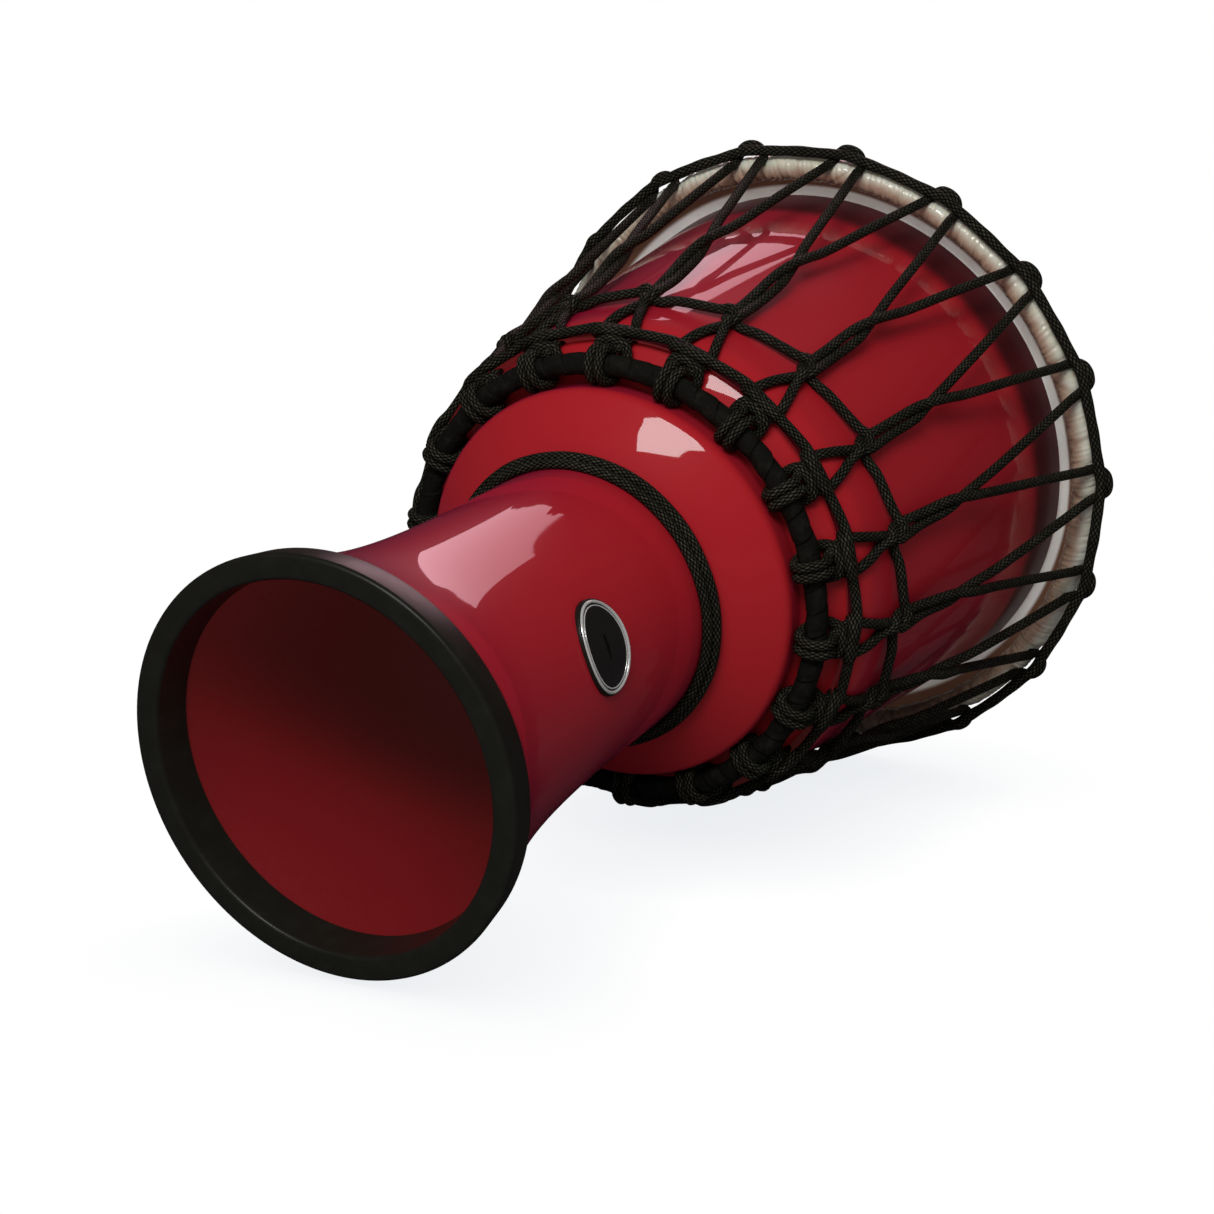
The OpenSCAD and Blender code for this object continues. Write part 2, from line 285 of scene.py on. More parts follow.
NORMAL, UV, OBJECT = 1, 2, 3        # outputs of the Texture Coordinate node
FACING = 1                          # output of the Layer Weight node
FACTOR = 2                          # output of the Attribute node
OCCLUSION = 1                       # output of the Ambient Occlusion node
BACKFACING = 6                      # output of the Geometry node
SKIN_DEPTH = (0.004, 0.002, 0.0012)  # how far red, green and blue light scatter in the skin


class Nodes:
    """Short ways to add shader nodes to a tree. A value may be a number, a colour or a socket."""

    def __init__(self, tree):
        self.tree = tree

    def put(self, socket, value):
        if isinstance(value, bpy.types.NodeSocket):
            self.tree.links.new(value, socket)
        elif isinstance(value, tuple) and len(value) == 3 and socket.type == "RGBA":
            socket.default_value = (*value, 1)
        else:
            socket.default_value = value

    def node(self, kind, inputs=(), output=0, **props):
        n = self.tree.nodes.new("ShaderNode" + kind)
        for key, value in props.items():
            setattr(n, key, value)
        for key, value in (inputs.items() if isinstance(inputs, dict) else enumerate(inputs)):
            self.put(n.inputs[key], value)
        return n.outputs[output]

    def math(self, op, a, b=0.0, c=0.0):
        return self.node("Math", (a, b, c), operation=op)

    def mix(self, share, a, b):
        n = self.tree.nodes.new("ShaderNodeMix")
        n.data_type = "RGBA"
        self.put(n.inputs[0], share)
        self.put(n.inputs[6], a)
        self.put(n.inputs[7], b)
        return n.outputs[2]

    def ramp(self, value, low, high, a=0.0, b=1.0):
        return self.node("MapRange", (value, low, high, a, b), interpolation_type="SMOOTHSTEP")

    def noise(self, scale, detail=3.0, rough=0.5):
        return self.node("TexNoise", {"Vector": self.node("TexCoord", output=OBJECT), "Scale": scale,
                                      "Detail": detail, "Roughness": rough})

    def bump(self, height, distance, strength=1.0, normal=None):
        inputs = {"Height": height, "Distance": distance, "Strength": strength}
        if normal:
            inputs["Normal"] = normal
        return self.node("Bump", inputs)

    def coords(self, kind):
        """The three parts of a texture coordinate."""
        n = self.tree.nodes.new("ShaderNodeSeparateXYZ")
        self.put(n.inputs[0], self.node("TexCoord", output=kind))
        return n.outputs


class Shader(Nodes):
    """A node material with a Principled surface."""

    def __init__(self, name):
        self.mat = bpy.data.materials.new(name)
        self.mat.use_nodes = True
        super().__init__(self.mat.node_tree)
        self.tree.nodes.clear()
        self.out = self.tree.nodes.new("ShaderNodeOutputMaterial")
        self.bsdf = self.tree.nodes.new("ShaderNodeBsdfPrincipled")
        self.tree.links.new(self.bsdf.outputs[0], self.out.inputs[0])

    def set(self, **inputs):
        for name, value in inputs.items():
            self.put(self.bsdf.inputs[name.replace("_", " ")], value)


def shell_material():
    """Glossy moulded red, with painted light: a magenta painted reflection at grazing angles, a dark band
    under the rim painted as the shadow and dark reflection of the roll and cords, and a faint broken ridge
    below that dotted with painted glints.
    """
    s = Shader("shell_gloss_red")
    z = s.coords(OBJECT)[2]
    edge = s.math("POWER", s.node("LayerWeight", {"Blend": 0.5}, FACING), 4.0)
    under_rim = s.math("ADD", z, s.math("MULTIPLY", s.noise(30, 2), 0.003))
    band_low, band_high, ridge_z = 0.2820, 0.2895, 0.2735
    red = s.mix(s.noise(9, 2), (0.325, 0.0100, 0.0150), (0.360, 0.0125, 0.0180))
    # Painted reflection: the red turns magenta at grazing angles, standing for the surroundings seen in
    # the gloss.
    base = s.mix(edge, red, (0.26, 0.006, 0.050))
    # Painted shade: a dark maroon band under the rim, standing for the shadow and dark reflection of the
    # roll and cords.
    base = s.mix(s.ramp(under_rim, band_low, band_high, 0.0, 0.92), base, (0.040, 0.0065, 0.0085))
    from_ridge = s.math("ABSOLUTE", s.math("SUBTRACT", z, ridge_z))
    ridge = s.math("MULTIPLY", s.ramp(from_ridge, 0.0, 0.0006, 1.0, 0.0),
                   s.ramp(s.noise(520, 2), 0.50, 0.70))
    # Painted highlight: pink dots along the ridge stand for glints on it; the ridge's bump is real shape.
    base = s.mix(s.math("MULTIPLY", ridge, 0.35), base, (0.60, 0.10, 0.14))
    bump = s.bump(s.noise(260, 2), 0.00001, 0.35)
    bump = s.bump(ridge, 0.00002, 0.5, bump)
    s.set(Base_Color=base, Roughness=0.45, Specular_IOR_Level=0.08,
          Coat_Weight=s.ramp(under_rim, band_low, band_high, 0.7, 0.12),
          Coat_Roughness=s.ramp(s.noise(40, 4), 0.3, 0.8, 0.015, 0.05), Coat_IOR=1.5, Normal=bump,
          Coat_Normal=bump)
    return s.mat


def inside_material():
    """The unpolished inside of the moulding: duller than the outside, its red painted darker as shade, and
    a faint glow of painted light.
    """
    s = Shader("shell_inside")
    cloud, grain = s.noise(22, 4, 0.6), s.noise(700, 3, 0.6)
    # Painted shade: the inside's red is darker than the shell's own red.
    tone = s.mix(cloud, (0.105, 0.0025, 0.0045), (0.135, 0.0034, 0.0056))
    s.set(Base_Color=tone, Roughness=s.ramp(grain, 0.3, 0.7, 0.36, 0.5), Specular_IOR_Level=0.2,
          Coat_Weight=0.15, Coat_Roughness=0.3, Normal=s.bump(grain, 0.00003, 0.4),
          # Painted light: a faint red glow standing for light that comes in through the skin.
          Emission_Color=(0.20, 0.040, 0.036), Emission_Strength=0.09)
    return s.mat


def cord_material(name, strands, pitch):
    """Braided cord: strands crossing in two directions, each crossing a small pad."""
    s = Shader(name)
    u, v, _ = s.coords(UV)
    turned, gone = s.math("MULTIPLY", u, float(strands)), s.math("DIVIDE", v, pitch)
    a, b = s.math("ADD", turned, gone), s.math("SUBTRACT", turned, gone)
    cell_a, cell_b = s.math("FLOOR", a), s.math("FLOOR", b)

    def across(strand):
        """Height over a strand's width: 0 at its edges and 1 in its middle."""
        c = s.math("SUBTRACT", s.math("MULTIPLY", s.math("FRACT", strand), 2.0), 1.0)
        return s.math("SUBTRACT", 1.0, s.math("MULTIPLY", c, c))

    height_a, height_b = across(a), across(b)
    cells = s.math("ABSOLUTE", s.math("MODULO", s.math("ADD", cell_a, cell_b), 2.0))
    odd = s.math("GREATER_THAN", cells, 0.5)
    over_a = s.math("MULTIPLY", height_a, s.math("POWER", height_b, 0.35))
    over_b = s.math("MULTIPLY", height_b, s.math("POWER", height_a, 0.35))
    height = s.math("ADD", s.math("MULTIPLY", over_a, odd),
                    s.math("MULTIPLY", over_b, s.math("SUBTRACT", 1.0, odd)))
    random = s.node("TexWhiteNoise", {"Vector": s.node("CombineXYZ", (cell_a, cell_b, 0.0))})
    # Painted shade and highlight: darker low in the gaps between strands, lighter on their crests.
    tone = s.mix(s.ramp(height, 0.25, 0.95), (0.0018, 0.0018, 0.0013), (0.0100, 0.0098, 0.0070))
    # Paler flecks on the strand crests: partly yarn colour, partly painted highlight.
    fleck = s.math("MULTIPLY", s.ramp(height, 0.45, 0.95), s.ramp(random, 0.0, 1.0, 0.4, 1.0))
    fleck = s.math("MULTIPLY", fleck, s.ramp(s.noise(90, 3), 0.3, 0.7, 0.6, 1.0))
    tone = s.mix(fleck, tone, (0.050, 0.048, 0.034))
    bump = s.bump(s.noise(2600, 2), 0.00006, 0.5)
    bump = s.bump(height, 0.00032, 1.0, bump)
    s.set(Base_Color=tone, Roughness=0.5, Specular_IOR_Level=0.06, Normal=bump)
    return s.mat


def cloth_material():
    """Tape wound round the ring: each lap's edge shows, and the tape has a fine weave."""
    s = Shader("ring_tape")
    u, v, _ = s.coords(UV)
    lap_width = 7.5
    wander = s.math("MULTIPLY", s.noise(60, 3), 0.5)
    lap = s.math("FRACT", s.math("ADD", s.math("ADD", s.math("DIVIDE", v, lap_width), u), wander))
    edge = s.ramp(lap, 0.0, 0.10)
    along = s.math("ADD", v, s.math("MULTIPLY", u, lap_width))
    weave = s.math("MULTIPLY", s.math("SINE", s.math("MULTIPLY", along, 9.0)),
                   s.math("SINE", s.math("MULTIPLY", u, 210.0)))
    folds = s.noise(330, 4, 0.65)
    # Painted shade: darker in the groove at each lap's edge.
    tone = s.mix(edge, (0.0018, 0.0017, 0.0014), (0.0058, 0.0056, 0.0044))
    tone = s.mix(s.ramp(folds, 0.45, 0.75), tone, (0.0115, 0.0110, 0.0085))
    bump = s.bump(weave, 0.00010, 0.8)
    bump = s.bump(folds, 0.0006, 0.9, bump)
    bump = s.bump(edge, 0.0004, 0.9, bump)
    s.set(Base_Color=tone, Roughness=0.7, Specular_IOR_Level=0.10, Normal=bump)
    return s.mat


def rubber_material():
    """Black rubber with a few paler scuffs."""
    s = Shader("foot_rubber")
    scuff = s.noise(150, 5, 0.6)
    tone = s.mix(s.ramp(scuff, 0.4, 0.75), (0.0085, 0.0085, 0.0065), (0.0110, 0.0110, 0.0086))
    s.set(Base_Color=tone, Roughness=s.ramp(scuff, 0.3, 0.8, 0.34, 0.40), Specular_IOR_Level=0.32,
          Normal=s.bump(s.noise(1800, 2), 0.00004, 0.5))
    return s.mat


def skin_material():
    """The stretched skin: pale over the rim, brown near the roll on its underside as painted shade, and a
    faint glow of painted light.
    """
    s = Shader("head_skin")
    x, y, _ = s.coords(OBJECT)
    radius = s.math("SQRT", s.math("ADD", s.math("MULTIPLY", x, x), s.math("MULTIPLY", y, y)))
    mottle, fibre = s.noise(28, 4, 0.6), s.noise(420, 5, 0.7)
    shade_start, shade_end = 0.0918, 0.0934
    pale = s.mix(s.ramp(mottle, 0.3, 0.7), (0.80, 0.78, 0.72), (0.86, 0.85, 0.82))
    pale = s.mix(s.ramp(fibre, 0.5, 0.8, 0.0, 0.35), pale, (0.50, 0.42, 0.34))
    # Painted shade: the skin turns brown near the roll where it faces down, standing for the shade under
    # the roll.
    shade_radius = s.math("ADD", radius, s.math("MULTIPLY", mottle, 0.0008))
    facing_down = s.ramp(s.coords(NORMAL)[2], -0.3, 0.3, 1.0, 0.12)
    brown = s.math("MULTIPLY", s.ramp(shade_radius, shade_start, shade_end), facing_down)
    tone = s.mix(brown, pale, (0.16, 0.075, 0.045))
    s.set(Base_Color=tone, Roughness=0.42, Specular_IOR_Level=0.45, Subsurface_Weight=0.25,
          Subsurface_Radius=SKIN_DEPTH, Subsurface_Scale=1.0, Normal=s.bump(fibre, 0.00008, 0.5),
          # Painted light: the skin glows faintly, standing for light shining through it.
          Emission_Color=tone, Emission_Strength=0.16)
    return s.mat


def roll_material():
    """The skin rolled over the hoop: cream and glossy, with painted shade that turns it pink-brown low
    down and darker in the creases.
    """
    s = Shader("head_roll")
    blotch, fine = s.noise(70, 4, 0.6), s.noise(500, 4, 0.6)
    # Painted shade: pink-brown on the roll's lower inner side, where the roll is in its own shade.
    under = s.math("COSINE", s.math("MULTIPLY", s.math("SUBTRACT", s.coords(UV)[0], 0.60), TURN))
    under = s.math("ADD", under, s.math("MULTIPLY", s.math("SUBTRACT", blotch, 0.5), 1.2))
    cream = s.mix(s.ramp(blotch, 0.35, 0.7), (0.56, 0.54, 0.42), (0.66, 0.65, 0.56))
    tone = s.mix(s.ramp(under, 0.0, 0.9, 0.0, 0.85), cream, (0.36, 0.215, 0.140))
    # Painted shade: darker brown in the creases.
    crease = s.node("Attribute", output=FACTOR, attribute_name="crease")
    tone = s.mix(s.math("MULTIPLY", crease, 0.7), tone, (0.20, 0.085, 0.05))
    s.set(Base_Color=tone, Roughness=s.ramp(fine, 0.3, 0.7, 0.16, 0.36), Specular_IOR_Level=0.55,
          Subsurface_Weight=0.3, Subsurface_Radius=SKIN_DEPTH, Subsurface_Scale=1.0,
          Coat_Weight=0.5, Coat_Roughness=0.12, Normal=s.bump(fine, 0.00012, 0.5))
    return s.mat


def metal_material(name, tone, rough):
    """Finely brushed metal."""
    s = Shader(name)
    brush = s.noise(900, 3, 0.6)
    s.set(Base_Color=tone, Metallic=0.6, Roughness=s.ramp(brush, 0.2, 0.8, rough * 0.7, rough * 1.4),
          Normal=s.bump(brush, 0.00001, 0.4))
    return s.mat


def enamel_material():
    """The badge's near-black field."""
    s = Shader("badge_enamel")
    speck = s.noise(1500, 3)
    s.set(Base_Color=s.mix(speck, (0.006, 0.006, 0.006), (0.011, 0.011, 0.010)), Roughness=0.35,
          Coat_Weight=0.35, Coat_Roughness=0.12, Normal=s.bump(speck, 0.00001, 0.4))
    return s.mat


SHELL_MAT = shell_material()
INSIDE_MAT = inside_material()
CORD_MAT = cord_material("braided_cord", 8, 2.2)
CROWN_MAT = cord_material("braided_crown_cord", 8, 2.3)
CLOTH_MAT = cloth_material()
RUBBER_MAT = rubber_material()
SKIN_MAT = skin_material()
ROLL_MAT = roll_material()
CHROME_MAT = metal_material("badge_chrome", (0.80, 0.80, 0.77), 0.24)
STEEL_MAT = metal_material("bar_steel", (0.45, 0.45, 0.46), 0.35)
ENAMEL_MAT = enamel_material()
PAD_MAT = rubber_material()

# ---------- shell ----------

SHELL_SIDES = 256
stem = [(stem_r(z), z) for z in np.linspace(SHELL_FOOT, 128, 48)]
body_corners = [                # neck groove, shoulder, seat and bowl, as (r, z, rounding)
    (stem_r(130), 130, 0), (42.3, 140.2, 2.4), (50.0, 144.0, 75), (62.6, 153.2, 4), (*SEAT, 2.5),
    (69.9, 168.0, 50), (*BOWL, BOWL_ROUND),
]
rim_corners = [(RIM[0], RIM[1] - 2, 1.0), (RIM[0] - 1.8, RIM[1], 0)]
outer = stem + fillet(body_corners + rim_corners)

# The inside follows the outside at the wall's thickness, less the points where that folds back.
line = np.array(stem + fillet(body_corners + [(RIM[0] - 0.6, RIM[1], 0)]))
slope = np.gradient(line, axis=0)
slope /= np.linalg.norm(slope, axis=1)[:, None]
inner = line + WALL * np.stack([-slope[:, 1], slope[:, 0]], 1)
inner[0, 1], inner[-1] = SHELL_FOOT, (RIM[0] - WALL + 0.4, RIM[1])
keep = [0]
for i in range(1, len(inner)):
    if (inner[i] - inner[keep[-1]]) @ slope[i] > 0.02:
        keep.append(i)
inner = [tuple(p) for p in inner[keep]]
outside, inside = densify(outer, 3), densify(inner[::-1], 5)
body = make("shell_body", *lathe(outside + inside, SHELL_SIDES, True), SHELL_MAT, "drum", ["shell"],
            "shell")
body.data.materials.append(INSIDE_MAT)
first_inside = len(outside) * SHELL_SIDES
for face in body.data.polygons:
    if min(face.vertices) >= first_inside:
        face.material_index = 1

# ---------- foot ring ----------

slot_out, slot_in = stem_r(STEM_END) + 0.1, stem_r(STEM_END) - WALL - 0.2
foot = fillet([
    (57, 0, 0), (FOOT_R, 0, 1.3), (59.0, 10.8, 0.9), (slot_out, 10.4, 0.5), (slot_out, 3, 0.3),
    (slot_in, 3, 0.3), (slot_in, 12.3, 0.5), (52.2, 12.3, 0.7), (53.4, 0, 1.4), (57, 0, 0),
], 5)[:-1]
make("foot_rubber_ring", *lathe(foot, 192, True), RUBBER_MAT, "drum", ["foot_ring"], "rubber")

# ---------- head ----------

skin_top = fillet([(0, TOP, 0), (RIM[0] + 0.1, TOP, 1.6), (ROLL_IN[0] + 0.6, ROLL_IN[1] + SHEET, 0)])
skin_under = fillet([(ROLL_IN[0] - 0.2, ROLL_IN[1] - 0.3, 0), (RIM[0] - 0.6, TOP - SHEET, 0.8),
                     (0, TOP - SHEET, 0)])
outline = [(max(r, 0.4), z) for r, z in densify(skin_top, 4) + densify(skin_under, 4)]
make("head_skin_sheet", *lathe(outline, 192), SKIN_MAT, "head", ["drum_skin"], "skin")


def roll():
    """The roll of skin: a ring with uneven creases across it, pinched where cords cross it."""
    phi, theta = np.meshgrid(circle(1440), circle(26), indexing="ij")
    depth, crease = np.zeros_like(phi), np.zeros_like(phi)

    def dent(where, width):
        """1 at an angle round the drum, falling to 0 over a width."""
        return np.exp(-(np.angle(np.exp(1j * (phi - where))) / width) ** 2)

    where = 0.0
    while where < TURN:
        lean, width, low = rng.normal(0, 0.016), rng.uniform(0.004, 0.014), rng.uniform(0.1, 1.0)
        fold = dent(where + lean * np.sin(theta - 1.0) * 2, width)
        fold = low * fold * (0.55 + 0.45 * np.cos(theta - rng.uniform(2.4, 4.4)))
        depth += 0.6 * fold
        crease += fold
        where += rng.uniform(0.02, 0.09)
    for _ in range(60):
        order, swell = int(rng.integers(40, 420)), rng.normal(0, 0.022)
        depth += swell * np.cos(order * phi + rng.uniform(0, 6) + rng.integers(1, 5) * theta)
    for k in range(PAIRS):
        for s in (-1, 1):
            pinch = dent(NET + (k + 0.5) * PITCH + s * 0.060, 0.020)
            depth += 0.7 * pinch * np.clip(np.cos(theta + 0.46), 0, 1)
    return ring_mesh(HOOP, ROLL_R + 0.15 - depth, phi, theta), np.clip(crease, 0, 1).ravel()


roll_parts, crease = roll()
rolled = make("head_skin_roll", *roll_parts, ROLL_MAT, "head", [], "skin")
# The crease mask darkens the roll's creases in its material, as painted shade.
creased = rolled.data.attributes.new("crease", "FLOAT", "POINT")
creased.data.foreach_set("value", crease.astype(np.float32))

# ---------- crown cord and its hitches ----------


def crown_r(side):
    """Radius of the crown cord at a sideways distance from a knot, which pulls it in a little."""
    return CROWN[0] - KNOT_PULL * math.exp(-(side / 5) ** 2) - abs(side) * math.tan(PITCH / 2)


def around_crown(k, side, angle, out):
    """A point round the crown cord near knot number k, which is half a pitch on from V number k."""
    return at(k + 0.5, side, *around((crown_r(side), CROWN[1]), angle, out))


crown_path = []
for k in range(PAIRS):
    dip = rng.uniform(-0.2, 0.2)
    for side, drop in ((-8, 0.2), (-3.5, 0.05), (0, 0), (3.5, 0.05), (8, 0.2)):
        crown_path.append(at(k + 0.5, side, crown_r(side), CROWN[1] - drop + dip))
    crown_path.append(at(k + 1, 0, CROWN[0] * math.cos(PITCH / 2), CROWN[1] - 0.4 + dip))
path = spline(crown_path, 1.5, True)
place = np.arange(len(path))
bulge = CROWN_R + 0.07 * np.sin(place * 0.9) + 0.05 * np.sin(place * 0.37)
make("crown_rope", *sweep(path, bulge, True, 14), CROWN_MAT, "head", ["crown_cord"], "cord")

# Half of a loop over the crown cord, from below on the inside up to its middle: sideways distance,
# angle and distance round the crown cord.
half_loop = [(5.5, 214, 4.8), (5.3, 188, 3.2), (5.0, 148, 3.0), (4.4, 108, 2.9), (3.0, 74, 3.0),
             (1.1, 62, 3.1)]
hitches = []
for k in range(PAIRS):
    points = [around_crown(k, -side, angle, out) for side, angle, out in half_loop]
    points += [around_crown(k, side, angle, out) for side, angle, out in reversed(half_loop)]
    hitches.append(sweep(spline(points, 0.8)))
make("crown_loops", *join(hitches), CORD_MAT, "head", ["crown_hitches"], "cord")

# ---------- tension cords ----------

# The way round the ring, as (sideways, angle, lift off the wrapping): down its outside, under, up
# inside, and out again on top.
RING_TURN = [(1.7, 52, 0.5), (1.6, 20, 0), (1.6, -30, 0), (1.6, -85, 0), (1.8, -140, 0),
             (2.6, 170, 0.1), (3.8, 128, 0.4)]

# Half of the loop that ties both strands down on the ring's upper side, from its end to its middle,
# as (sideways, angle, distance from the ring's centre).
TIE_LOOP = [(4.0, 128, 5.2), (4.9, 100, 6.0), (5.1, 76, 7.2), (4.4, 56, 8.3), (2.3, 48, 8.7)]


def round_ring(k, side, angle, out):
    """A point round the wrapped ring, near V number k."""
    return at(k, side, *around(RING, angle, out))


def along_leg(t):
    """The line of a V's cord, as (radius, height), from the crown at t=0 to the upper row at t=1."""
    z = CORD_TOP + (ROW2_Z - CORD_TOP) * t
    return np.interp(z, (ROW2_Z, 225, CORD_TOP), (80.6, 88.8, 102.6)), z


def cord_points(k, s):
    """One cord of V number k from crown to ring; the s=1 cord lies on top wherever the two cross."""
    spread = CROWN[0] * math.sin(PITCH / 2) - 5.9       # to the side of its knot, at the crown
    jig = 0.5 * math.sin(k * 2.4 + s)
    over = 1.5 if s == 1 else -1.3                      # lift of one cord past the other
    points = [at(k, s * spread * share, *along_leg(t)) for t, share in ((0, 1), (0.25, 0.62), (0.5, 0.26))]
    for t, side, lift in ((0.585, 1.5, 0.6), (0.66, 0, 1), (0.74, -1.45, 0.5)):
        r, z = along_leg(t)
        points.append(at(k, s * side, r + over * lift, z + jig))
    points.append(at(k, -s * 1.6, *along_leg(0.88)))
    if s == 1:
        points += [at(k, -1.9, 80.9, ROW2_Z + 1.0), at(k, -1.3, 81.2, 189.6), at(k, 0.5, 82.2, 186.4)]
    else:
        points += [at(k, 1.9, 83.0, ROW2_Z + 1.2), at(k, 1.7, 82.6, 189.8), at(k, -0.2, 80.2, 187.3)]
    points += [on_bowl(k, angle, s * side, lift) for angle, side, lift in
               ((0, 1.7, 1.8), (20, 3.4, 1.9), (38, 4.9, 2.4), (47, 5.3, 2.6))]
    points.append(at(k, s * 3.6, 73.0, 166.4))
    return points + [round_ring(k, s * side, angle, WRAP_R + CORD + out) for side, angle, out in RING_TURN]


for s, name in ((-1, "right"), (1, "left")):
    tubes = [sweep(spline(cord_points(k, s))) for k in range(PAIRS)]
    cords = make(f"{name}_cords", *join(tubes), CORD_MAT, None,
                 [f"{name}_tension_cords", f"{name}_lower_cords"], "cord")
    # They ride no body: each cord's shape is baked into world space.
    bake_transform(cords)
ties = []
for k in range(PAIRS):
    points = [round_ring(k, -side, angle, out) for side, angle, out in TIE_LOOP]
    points.append(round_ring(k, 0, 46, 8.7))
    points += [round_ring(k, side, angle, out) for side, angle, out in reversed(TIE_LOOP)]
    ties.append(sweep(spline(points, 0.9)))
make("ring_hitch_loops", *join(ties), CORD_MAT, "drum", ["ring_hitches"], "cord")

# ---------- weave cords ----------

# One pitch of the upper row, as (sideways, radius, height off the row): over the pair, then under.
UPPER_PASS = [(-9.5, 81.9, -0.6), (-4.6, 82.4, 0.4), (-1.8, 83.7, 0.9), (0.6, 82.2, 0.1),
              (2.4, 80.3, -1.0), (5.5, 80.6, -1.6)]

# One pitch of the lower row, as (angle, sideways, lift off the bowl): over the pair, back under it
# and over it again.
LOWER_PASS = [(45, -8.8, 4.2), (46, -5.4, 5.2), (47, 0, 5.2), (47.5, 4.8, 5.4), (48.5, 6.9, 3.4),
              (48.5, 5.0, 1.1), (48.5, 0, 1.0), (49, -5.0, 1.1), (49.5, -6.9, 3.4), (50, -4.6, 6.2),
              (50.5, 0, 6.6), (50, 4.4, 6.2), (47.5, 8.4, 4.5)]

upper, lower = [], []
for k in range(PAIRS):
    jig = 0.4 * math.sin(k * 1.7)
    upper += [at(k, side, r, ROW2_Z + z + jig) for side, r, z in UPPER_PASS]
    upper.append(at(k, 10, 81.4, ROW2_Z - 1.3))
    lower += [on_bowl(k, *step) for step in LOWER_PASS]
make("upper_weave", *sweep(spline(upper, 1.2, True), CORD, True), CORD_MAT, "drum",
     ["upper_weave_cord", "upper_weave_turns"], "cord")
make("lower_weave", *sweep(spline(lower, 1.0, True), CORD, True), CORD_MAT, "drum",
     ["lower_weave_cord", "lower_weave_turns"], "cord")

# ---------- wrapped lower ring ----------


def taped_ring():
    """The tape round the lower ring: slanting laps, each a step up from the one before."""
    laps = 58
    phi, theta = np.meshgrid(circle(1080), circle(24), indexing="ij")
    lap = (phi * laps / TURN + theta / TURN + 0.08 * np.sin(phi * 23) * np.sin(theta)) % 1
    pipe = WRAP_R - 0.12 + 0.38 * lap**0.7 * (1 - np.exp(-(1 - lap) * 14))
    pipe += 0.10 * np.sin(phi * 17 + 2 * theta) + 0.08 * np.sin(phi * 43 - theta)
    return ring_mesh(RING, pipe, phi, theta)


make("ring_tape", *taped_ring(), CLOTH_MAT, "drum", ["ring_cloth_wrap"], "cloth")

# ---------- neck cord, knot and tail ----------


def neck_turn(r, z):
    """One turn of cord in the neck, a little uneven."""
    a = circle(240)
    wobble = 0.08 * np.sin(a * 5) + 0.04 * np.sin(a * 13 + 1)
    return np.stack([(r + wobble) * np.cos(a), (r + wobble) * np.sin(a), z + 0.4 * wobble], 1)


turns = [sweep(neck_turn(r, z), CORD, True) for r, z in ((44.1, 136.1), (45.6, 138.75))]
make("neck_turns", *join(turns), CORD_MAT, "drum", ["neck_cord"], "cord")

knot = [(5, 44.8, 137.6), (3.2, 47.0, 138.6), (0, 48.8, 139.2), (-2.4, 48.4, 137.2),
        (-0.5, 48.6, 135.2), (2.3, 49.4, 136.4), (0.2, 51.2, 138.0), (-2.4, 49.0, 138.9),
        (-3.4, 46.6, 137.6), (-5, 44.8, 136.8)]
make("neck_knot", *sweep(spline(knot, 0.8), CORD * 0.95), CORD_MAT, "drum", ["neck_cord_knot"], "cord")

at_back = (math.pi / 2 - NET) / PITCH
tail = [at(at_back, side, r, z) for side, r, z in
        ((0.2, 73.5, 163.6), (0, 75.6, 159.5), (0.4, 74.4, 154.8), (1.0, 71.6, 149.8), (1.9, 69.4, 145.0))]
make("free_end", *sweep(spline(tail, 0.9)), CORD_MAT, "drum", ["cord_tail"], "cord")

# ---------- badge ----------


def oval_ring(steps, n=96):
    """An oval bent round the stem: each step is (inset from the edge, height off its back)."""
    a = circle(n)
    rows = []
    for inset, height in steps:
        x, r = (BADGE_HALF[0] - inset) * np.cos(a), BADGE_BACK + height
        z = BADGE_Z + (BADGE_HALF[1] - inset) * np.sin(a)
        rows.append(np.stack([x, -np.sqrt(r * r - x * x), z], 1))
    pts = np.array(rows)
    faces, uvs = grid(pts, np.arange(n + 1) / n, range(len(steps) + 1))
    return pts.reshape(-1, 3), faces, uvs


skirt = [(0.3, -1.2), (0, -0.6), (0, 0.5), (0.15, 0.85), (0.4, 0.95), (0.55, 0.8)]
make("badge_skirt", *oval_ring(skirt), PAD_MAT, "drum", [], "rubber")
bezel = [(0.4, 0.5), (0.45, 0.95), (0.6, 1.2), (0.9, 1.35), (1.2, 1.2), (1.35, 0.9), (1.4, 0.5)]
make("badge_rim", *oval_ring(bezel), CHROME_MAT, "drum", ["badge_bezel"], "bezel")
field = [(1.3, 0.7)] + [(inset, 0.85) for inset in np.arange(2.0, 10.9, 0.7)]
make("badge_field", *oval_ring(field), ENAMEL_MAT, "drum", ["badge_plate"], "badge_field")
trim = [(1.85, 0.7), (1.9, 0.98), (2.05, 1.04), (2.2, 0.98), (2.25, 0.75)]
make("badge_trim", *oval_ring(trim), CHROME_MAT, "drum", [], "bezel")

# These three keep their CAD shape: the bars are hidden, and so is most of the pad.
for node, mat, slot in (("flesh_hoop", STEEL_MAT, "steel"), ("lower_ring", STEEL_MAT, "steel"),
                        ("badge_pad", PAD_MAT, "rubber")):
    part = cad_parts[node]
    part.data.materials.clear()
    part.data.materials.append(mat)

# ---------- camera, floor and light ----------

camera = bpy.data.objects.new("camera", bpy.data.cameras.new("camera"))
scene.collection.objects.link(camera)
camera.data.sensor_width, camera.data.lens = 36, 87.80      # millimetres
camera.location = (-0.16238, -0.50729, -0.57703)
camera.rotation_euler = tuple(math.radians(a) for a in (157.9364, -29.6021, -68.9739))
camera.data.clip_start = 0.01
scene.camera = camera
look = Euler(camera.rotation_euler).to_matrix()

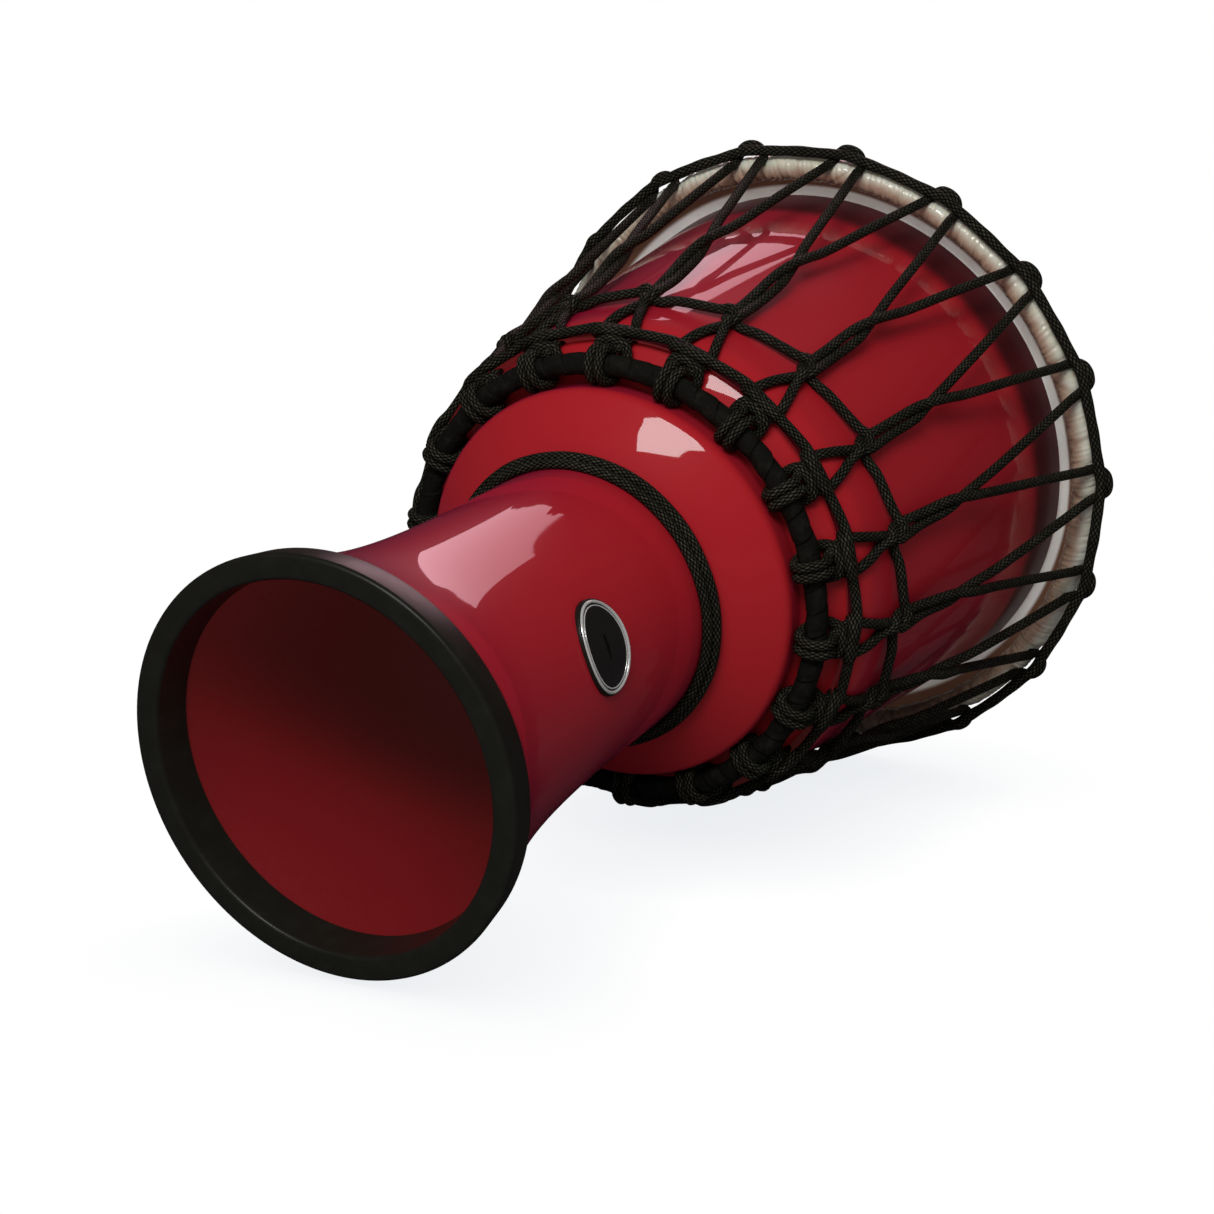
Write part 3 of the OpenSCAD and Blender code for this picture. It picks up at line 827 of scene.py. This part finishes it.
# The drum lies on its foot ring and its crown knots: LEAN and SIDE turn the floor to touch both.
LEAN, SIDE = math.radians(9.3), math.radians(15.75)
FLOOR_OFF = 0.0612          # distance from the drum's origin to the floor, in metres
FLOOR_HALF = 4
down = Vector((math.cos(LEAN) * math.cos(SIDE), math.cos(LEAN) * math.sin(SIDE), -math.sin(LEAN)))
across = Vector((-math.sin(SIDE), math.cos(SIDE), 0))
away = down.cross(across)
under = Vector((0, 0, 0.15))
under += down * (FLOOR_OFF - under @ down)
floor_mesh = bpy.data.meshes.new("floor")
floor_mesh.from_pydata([under + (across * x + away * y) * FLOOR_HALF
                        for x, y in ((-1, -1), (1, -1), (1, 1), (-1, 1))], [], [(0, 1, 2, 3)])
if floor_mesh.polygons[0].normal @ down > 0:
    floor_mesh.flip_normals()
floor = bpy.data.objects.new("floor", floor_mesh)
scene.collection.objects.link(floor)


def floor_material():
    """White paper to the camera, shaded where the drum touches; dull to other rays; clear from below."""
    f = Shader("pale_floor")
    ray = f.tree.nodes.new("ShaderNodeLightPath").outputs
    f.set(Base_Color=f.mix(ray["Is Glossy Ray"], (0.40, 0.40, 0.41), (0.05, 0.045, 0.045)),
          Roughness=0.9, Specular_IOR_Level=0.1)
    contact = f.node("AmbientOcclusion", {"Distance": 0.05}, OCCLUSION, samples=24)
    paper = f.node("Emission", {"Color": f.mix(contact, (0.80, 0.82, 0.85), (1.0, 1.0, 1.0))})
    front = f.node("MixShader", (ray["Is Camera Ray"], f.bsdf.outputs[0], paper))
    below = f.node("NewGeometry", output=BACKFACING)
    f.put(f.out.inputs[0], f.node("MixShader", (below, front, f.node("BsdfTransparent"))))
    return f.mat


floor_mesh.materials.append(floor_material())

# The surroundings: white to the camera, a grey fill to the drum, and dark in its gloss.
world = bpy.data.worlds.new("studio")
scene.world = world
world.use_nodes = True
sky = Nodes(world.node_tree)
ray = sky.tree.nodes.new("ShaderNodeLightPath").outputs
fill = sky.mix(ray["Is Glossy Ray"], (0.30, 0.30, 0.31), (0.030, 0.020, 0.020))
sky.put(sky.tree.nodes["Background"].inputs[0], sky.mix(ray["Is Camera Ray"], fill, (1.0, 1.0, 1.0)))

LIT_POINT = Vector((0, 0, 0.16))    # what the lights stand round


def softbox(name, toward, distance, size, power, tint=(1, 1, 1)):
    """A rectangular soft light, towards (right, up, back) as seen from the camera."""
    light = bpy.data.lights.new(name, "AREA")
    light.shape, light.size, light.size_y = "RECTANGLE", *size
    light.energy, light.color = power, tint
    lamp = bpy.data.objects.new(name, light)
    scene.collection.objects.link(lamp)
    z = (look @ Vector(toward)).normalized()
    x = z.cross(down).normalized()
    turned = Matrix((x, z.cross(x), z)).transposed().to_4x4()
    lamp.matrix_world = Matrix.Translation(LIT_POINT + z * distance) @ turned
    return lamp


softbox("softbox_front", (-0.30, 0.45, 0.84), 1.5, (0.62, 0.27), 7)
soft_fill = softbox("softbox_fill", (-0.05, 0.42, 0.91), 1.5, (0.5, 0.5), 11)
soft_fill.visible_glossy = False
softbox("softbox_back", (0.20, 0.69, -0.67), 1.4, (0.70, 0.50), 3.2, (1, 0.62, 0.70))

scene.view_settings.view_transform = "Standard"
